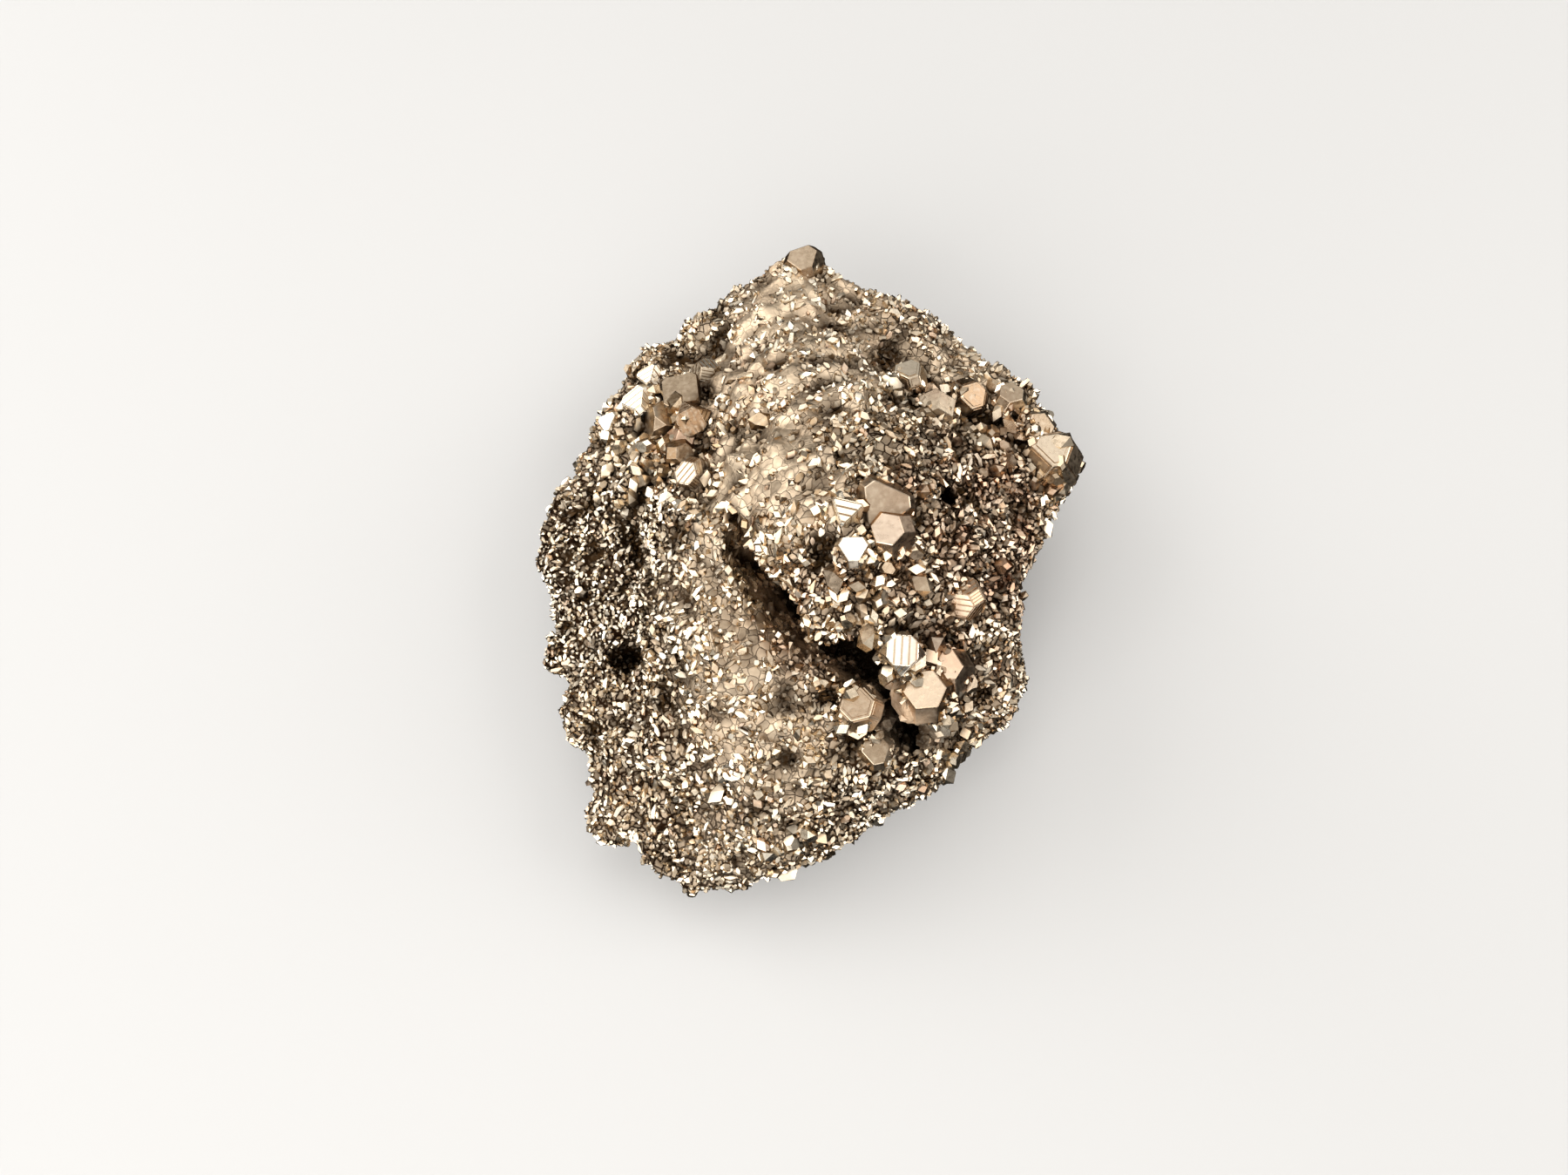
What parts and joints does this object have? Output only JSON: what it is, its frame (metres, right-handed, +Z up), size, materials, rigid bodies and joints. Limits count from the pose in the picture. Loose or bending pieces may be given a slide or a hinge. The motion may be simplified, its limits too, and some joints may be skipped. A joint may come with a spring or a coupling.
{
  "type": "pyrite specimen",
  "caption": "Rough hand-sized cluster of brassy pyrite crystals grown as one mass, with a deep curved cleft; a mineral specimen that rests on its flat underside.",
  "frame": {"origin": "centre of the bounding box on the plane of the flat underside", "axes": "+Z up, away from the flat underside; +Y along the length, towards the pointed tip; +X across, towards the corner with the large crystal"},
  "size_m": [0.0562, 0.0678, 0.0361],
  "materials": {
    "pyrite": "bright metallic crystal faces, pale brass to brown"
  },
  "bodies": {
    "root": {"pyrite_cluster": "pyrite"}
  },
  "joints": []
}
